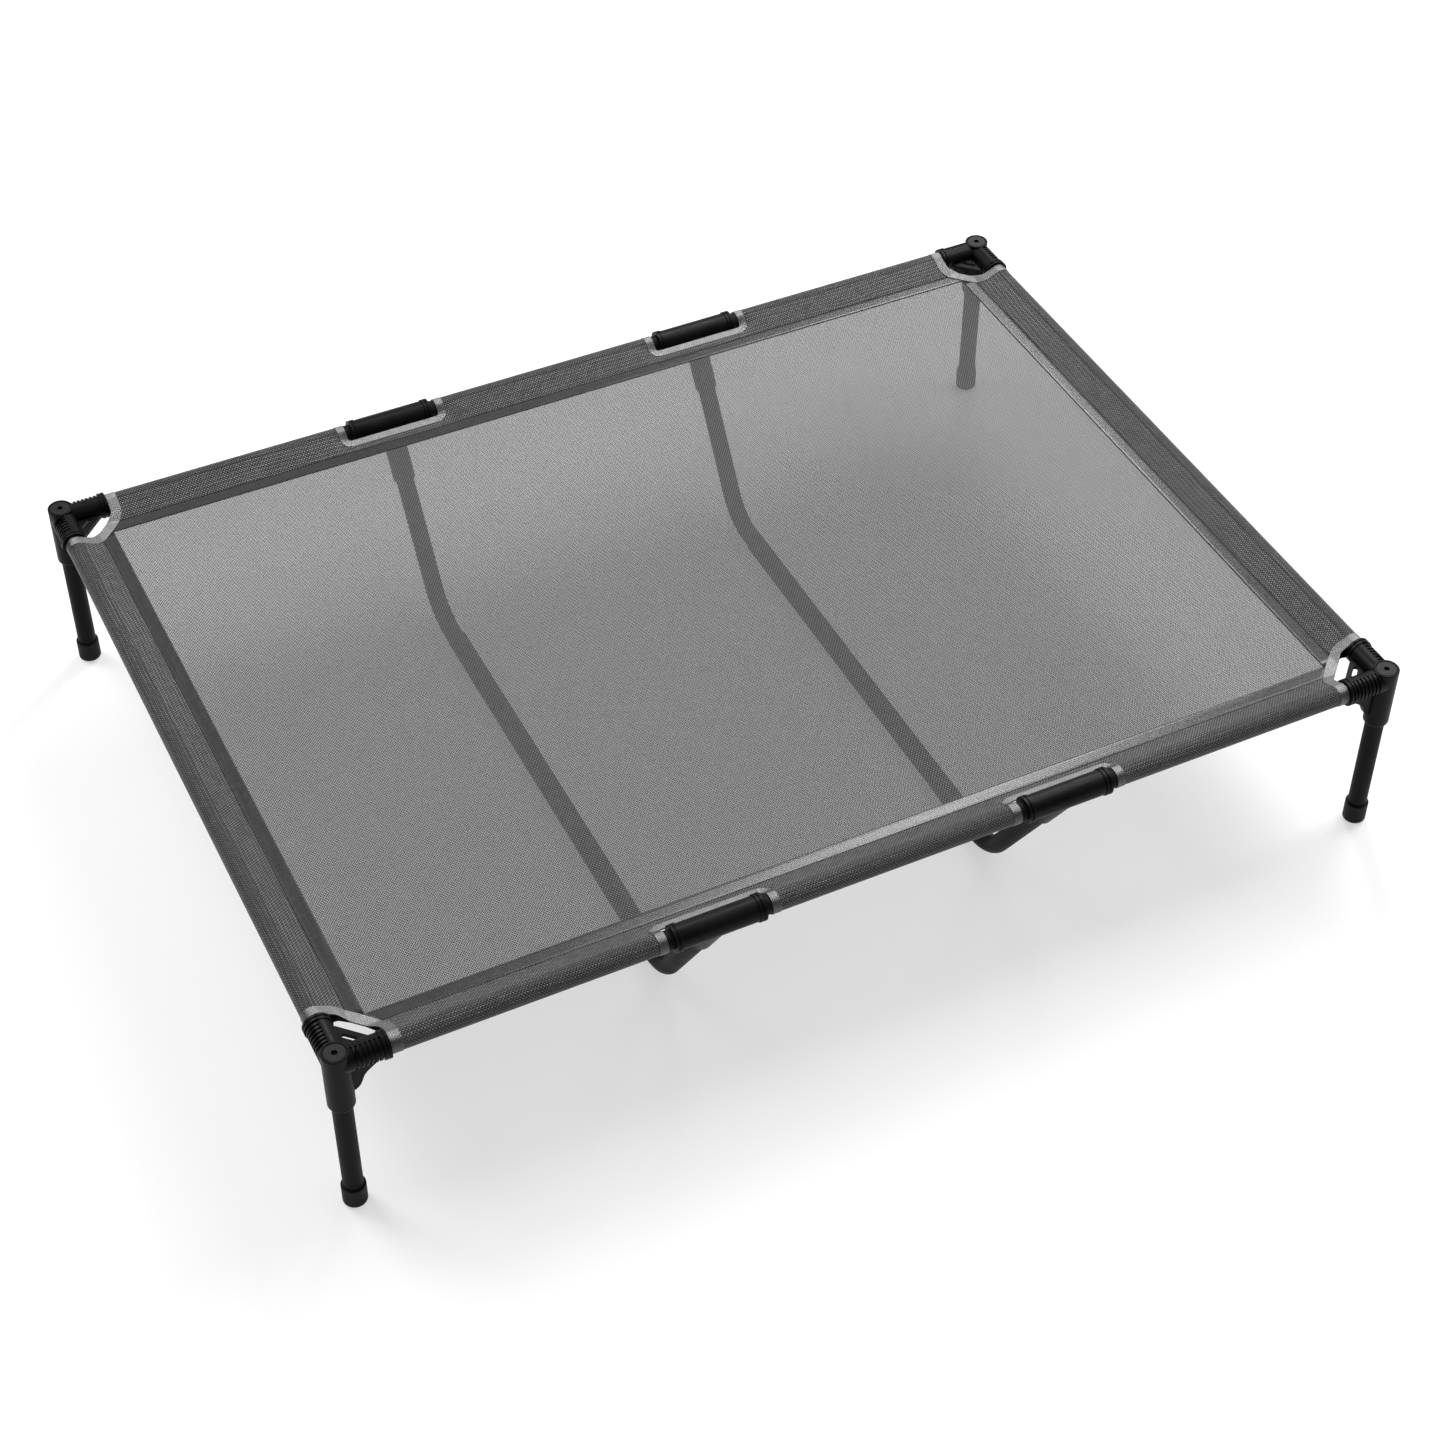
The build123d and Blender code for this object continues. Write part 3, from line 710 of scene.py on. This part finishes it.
def band_profile(width, proud, under, lip):
    """Closed cross-section of a band: (across it, above the cloth), with rolled edges."""
    quarter = np.linspace(0, pi / 2, 4)
    rise = proud + under
    left = [(-lip * cos(turn), -under + rise * sin(turn)) for turn in quarter]
    flat = [(part * width, proud) for part in (0.1, 0.3, 0.5, 0.7, 0.9)]
    right = [(width - lip * (1 - sin(turn)), -under + rise * cos(turn)) for turn in quarter]
    back = [(width * part, -under) for part in (0.66, 0.33)]
    return np.array(left + flat + right + back + left[:1])


def banding(name, parts, width):
    """A closed loop of binding along an edge of the cloth.

    Each part is a side, places on its cloth along the edge, and the directions into the cloth."""
    profile = band_profile(width, BINDING_PROUD, HEM_THICK, 0.0004)
    rings, edge_points = [], []
    for side, edge, into in parts:
        flat = edge[:, None, :] + profile[None, :, :1] * into[:, None, :]
        outward = side.normal(flat[..., 0], flat[..., 1])
        rings.append(side.surface(flat[..., 0], flat[..., 1]) + outward * profile[None, :, 1:])
        edge_points.append(side.surface(edge[:, 0], edge[:, 1]))
    points = np.concatenate(rings)
    walk = np.concatenate(edge_points)
    travelled = np.concatenate(([0], np.cumsum(np.linalg.norm(np.diff(walk, axis=0), axis=1))))
    girth = np.concatenate(([0], np.cumsum(np.linalg.norm(np.diff(profile, axis=0), axis=1))))
    uvs = np.stack(np.meshgrid(travelled, girth, indexing="ij"), -1)
    return make_piece(name, points, grid_faces(*points.shape[:2]), uvs, "edge_binding")


def corner_edge():
    """Edge of a corner cut-out on one side's cloth, from its middle above to its middle below.

    Places are (distance from the post, run), with the directions into the cloth."""
    middle = (CUT_STRAIGHT + CUT_TURN) / 2 - HEM_WIDTH
    bend_end = SECTION.slope[0] + SECTION.bend
    runs = spans(
        (-middle, 4), (0, 26), (SECTION.slope[0], 24), (bend_end, 26), (SECTION.length, 4),
        (SECTION.length + middle, 0),
    )

    def edge(run):
        return cut_edge(SECTION.at(run)[:, 0])

    step = 0.0002
    lean = (edge(runs + step) - edge(runs - step)) / (2 * step)
    into = np.stack((np.ones_like(lean), -lean), -1)
    return np.stack((edge(runs), runs), -1), into / np.linalg.norm(into, axis=1, keepdims=True)


def corner_binding(name, before, after):
    """Binding of the cut-out between the end of one side and the start of the next."""
    edge, into = corner_edge()
    start = edge * (1, 1) - (after.half, 0)
    end = edge * (-1, 1) + (before.half, 0)
    parts = ((after, start, into), (before, end[::-1], (into * (-1, 1))[::-1]))
    return banding(name, parts, CORNER_BAND)


def rounded_loop(low, high, radius, steps):
    """Closed rounded rectangle, with its outward directions. `steps` divide its straight parts."""
    points, outward = [], []
    corners = ((high[0], low[1]), high, (low[0], high[1]), low)
    inset = ((-1, 1), (-1, -1), (1, -1), (1, 1))
    middles = [np.array(c) + radius * np.array(i) for c, i in zip(corners, inset)]
    for number, middle in enumerate(middles):
        for turn in (number - 1) * pi / 2 + np.linspace(0, pi / 2, 7):
            outward.append((cos(turn), sin(turn)))
            points.append(middle + radius * np.array(outward[-1]))
        goal = middles[(number + 1) % 4] + radius * np.array(outward[-1])
        run = goal - points[-1]
        first = points[-1]
        for part in np.linspace(0, 1, steps[number % 2] + 1)[1:-1]:
            outward.append(outward[-1])
            points.append(first + part * run)
    points.append(points[0])
    outward.append(outward[0])
    return np.array(points), np.array(outward)


def notch_binding(name, side, tee):
    """Binding all round a tee's notch, above the rail, round it, and below."""
    low = (tee - NOTCH_HALF, SECTION.run_at(NOTCH_DEPTH))
    high = (tee + NOTCH_HALF, SECTION.run_at(NOTCH_DEPTH, below=True))
    edge, into = rounded_loop(low, high, NOTCH_ROUND, (48, 30))
    return banding(name, ((side, edge, into),), NOTCH_BAND)


# ---------------------------------------------------------------- welded bands and the panel


def weld_band(side, butt):
    """Flat band melted along a weld line, with both its ends under the corner bindings."""
    quarter = np.linspace(0, pi / 2, 4)
    bulge = TAPE_HALF
    outer = -TAPE_OVERLAP
    inner = TAPE_WIDTH
    profile = [(outer + bulge * (1 - sin(turn)), -bulge * cos(turn)) for turn in quarter]
    profile += [(outer + bulge * (1 - sin(turn)), bulge * cos(turn)) for turn in quarter[-2::-1]]
    profile += [(inner * part, bulge) for part in (0.25, 0.5, 0.75)]
    profile += [(inner - bulge * (1 - sin(turn)), bulge * cos(turn)) for turn in quarter]
    profile += [(inner - bulge * (1 - sin(turn)), -bulge * cos(turn)) for turn in quarter[-2::-1]]
    profile += [(inner * part, -bulge) for part in (0.66, 0.33)]
    profile = np.array(profile + profile[:1])
    reach = HEM_WIDTH + profile[:, 0]
    end = CUT_STRAIGHT + CUT_TURN + TAPE_UNDER - reach
    if butt:
        end = np.maximum(end, HEM_WIDTH + TAPE_WIDTH + TAPE_GAP)
    along = np.linspace(-1, 1, 90)[:, None] * (side.half - end)[None, :]
    points = (
        side.origin
        + along[..., None] * side.along
        + reach[None, :, None] * side.inward
        + (PANEL_Z - RAIL_Z + profile[None, :, 1, None]) * np.array((0, 0, 1))
    )
    faces = grid_faces(*points.shape[:2])
    ring = len(profile) - 1
    last = (len(points) - 1) * len(profile)
    faces += [tuple(range(ring)), tuple(last + number for number in reversed(range(ring)))]
    uvs = np.stack((along, np.repeat(profile[None, :, 0], len(points), 0)), -1)
    return make_piece(f"weld_band_{side.name}", points, faces, uvs, "weld_tape")


def stretched_mesh():
    """The single layer of open mesh between the weld lines, hanging a little in its middle."""
    reach_x = HALF_X - HEM_WIDTH
    reach_y = HALF_Y - HEM_WIDTH
    x, y = np.meshgrid(np.linspace(-reach_x, reach_x, 133), np.linspace(reach_y, -reach_y, 97))
    hang = (1 - (x / reach_x) ** 2) * (1 - (y / reach_y) ** 2)
    pull = 0.00025 * np.sin(9 * x + 2) * np.sin(7 * y - 1) * smooth(4 * hang)
    points = np.stack((x, y, PANEL_Z - SAG * np.sqrt(hang) * smooth(3 * hang) + pull), -1)
    uvs = np.stack((x, y), -1)
    piece = make_piece("mesh_cloth", points, grid_faces(*x.shape), uvs, "open_mesh", closed=False)
    edit = bmesh.new()
    edit.from_mesh(piece.data)
    cut = (HALF_X + HALF_Y - CUT_STRAIGHT - CUT_TURN - 0.0008) / sqrt(2)
    for x_sign in (-1, 1):
        for y_sign in (-1, 1):
            outward = Vector((x_sign, y_sign, 0)).normalized()
            bmesh.ops.bisect_plane(
                edit, geom=[*edit.verts, *edit.edges, *edit.faces],
                plane_co=cut * outward, plane_no=outward, clear_outer=True,
            )
    edit.to_mesh(piece.data)
    edit.free()
    return piece


# ---------------------------------------------------------------- the bed

for node_name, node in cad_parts.items():
    for material_slot in node.material_slots:
        material_slot.material = FINISHES[NODE_SLOTS.get(node_name.rsplit("_", 2)[0], "coated_tube")]

for side in SIDES.values():
    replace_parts(hem(side), f"hem_{side.name}")
    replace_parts(weld_band(side, not side.tees), f"weld_tape_{side.name}")
    for tee in side.tees:
        place = f"{side.name}_{'left' if tee * side.along[0] < 0 else 'right'}"
        binding = notch_binding(f"notch_edging_{place}", side, tee)
        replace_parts(binding, f"notch_binding_{place}")
for before, after, place in CORNERS:
    binding = corner_binding(f"corner_edging_{place}", SIDES[before], SIDES[after])
    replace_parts(binding, f"corner_binding_{place}")

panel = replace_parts(stretched_mesh(), "mesh_panel")

# ---------------------------------------------------------------- floor, light and camera


FLOOR_COLOUR = (0.45, 0.45, 0.45, 1)
FLOOR_GLOW = 0.53
FLOOR_REACH = 14.0
FLOOR_DROP = 0.0002      # keeps it clear of the feet's undersides


def floor():
    """Wide, plain, pale studio floor of one even colour, with the same faint light all over
    it, as a lit white sweep has, so that the bed's own shadow stays soft."""
    mesh = bpy.data.meshes.new("studio_floor")
    corners = [(x * FLOOR_REACH, y * FLOOR_REACH, 0) for x, y in ((-1, -1), (1, -1), (1, 1), (-1, 1))]
    mesh.from_pydata(corners, [], [(0, 1, 2, 3)])
    graph = Graph("studio_floor", Roughness=0.9, Specular_IOR_Level=0.1)
    graph.shader.inputs["Base Color"].default_value = FLOOR_COLOUR
    graph.shader.inputs["Emission Color"].default_value = (1, 1, 1, 1)
    graph.shader.inputs["Emission Strength"].default_value = FLOOR_GLOW
    mesh.materials.append(graph.material)
    piece = bpy.data.objects.new("studio_floor", mesh)
    piece.location.z = -FLOOR_DROP
    bpy.context.scene.collection.objects.link(piece)


WORLD_TOWARDS = (0.42, 0.48, 0.77)   # the brightest part of the surround
WORLD_LOW, WORLD_HIGH = -0.35, 0.95  # where its light stops falling, and starts to
WORLD_DIM, WORLD_BRIGHT = 0.10, 0.74
LAMP_DISTANCE = 3.2


def softbox(name, around, above, size, power):
    """Rectangular area light aimed at the middle of the bed, from an azimuth (0 is the rear,
    90 the right) and an elevation in degrees."""
    light = bpy.data.lights.new(name, "AREA")
    light.shape = "RECTANGLE"
    light.size, light.size_y = size
    light.energy = power
    lamp = bpy.data.objects.new(name, light)
    turn, rise = radians(around), radians(above)
    aim = Vector((sin(turn) * cos(rise), cos(turn) * cos(rise), sin(rise)))
    lamp.location = Vector((0, 0, 0.2)) + LAMP_DISTANCE * aim
    lamp.rotation_euler = aim.to_track_quat("Z", "Y").to_euler()
    bpy.context.scene.collection.objects.link(lamp)


def studio():
    """A surround that is bright above and behind and dim in front, and three soft lights above.
    A camera sees it as even white."""
    world = bpy.data.worlds.new("studio")
    bpy.context.scene.world = world
    world.use_nodes = True
    nodes, links = world.node_tree.nodes, world.node_tree.links
    facing = nodes.new("ShaderNodeVectorMath")
    facing.operation = "DOT_PRODUCT"
    facing.inputs[1].default_value = Vector(WORLD_TOWARDS).normalized()
    links.new(nodes.new("ShaderNodeTexCoord").outputs["Generated"], facing.inputs[0])
    fade = nodes.new("ShaderNodeMapRange")
    fade.interpolation_type = "SMOOTHSTEP"
    links.new(facing.outputs["Value"], fade.inputs["Value"])
    fade.inputs["From Min"].default_value = WORLD_LOW
    fade.inputs["From Max"].default_value = WORLD_HIGH
    fade.inputs["To Min"].default_value = WORLD_DIM
    fade.inputs["To Max"].default_value = WORLD_BRIGHT
    around = nodes["Background"]
    around.inputs["Color"].default_value = (1, 1, 1, 1)
    links.new(fade.outputs[0], around.inputs["Strength"])
    seen = nodes.new("ShaderNodeBackground")
    seen.inputs["Strength"].default_value = 1.0
    path = nodes.new("ShaderNodeLightPath")
    mix = nodes.new("ShaderNodeMixShader")
    links.new(path.outputs["Is Camera Ray"], mix.inputs[0])
    links.new(around.outputs[0], mix.inputs[1])
    links.new(seen.outputs[0], mix.inputs[2])
    links.new(mix.outputs[0], nodes["World Output"].inputs["Surface"])
    softbox("strip", 39, 50, (0.42, 1.9), 50)
    softbox("right", 84, 50, (1.3, 1.3), 62)
    softbox("rear", -42, 48, (1.3, 1.3), 54)


CAMERA_PLACE = (-1.02086, -2.11508, 2.30802)
CAMERA_TURN = (26.281, 44.280, 0.169)    # yaw, pitch and roll, in degrees
CAMERA_LENS = 70.99


def camera():
    """A long lens above the front left, looking down on the bed."""
    yaw, pitch, roll = (radians(angle) for angle in CAMERA_TURN)
    data = bpy.data.cameras.new("camera")
    data.sensor_width = 36
    data.lens = CAMERA_LENS
    shot = bpy.data.objects.new("camera", data)
    turn = Matrix.Rotation(-yaw, 4, "Z") @ Matrix.Rotation(pi / 2 - pitch, 4, "X")
    shot.matrix_world = Matrix.Translation(CAMERA_PLACE) @ turn @ Matrix.Rotation(roll, 4, "Z")
    bpy.context.scene.collection.objects.link(shot)
    bpy.context.scene.camera = shot


floor()
studio()
camera()
bpy.context.scene.view_settings.view_transform = "Standard"
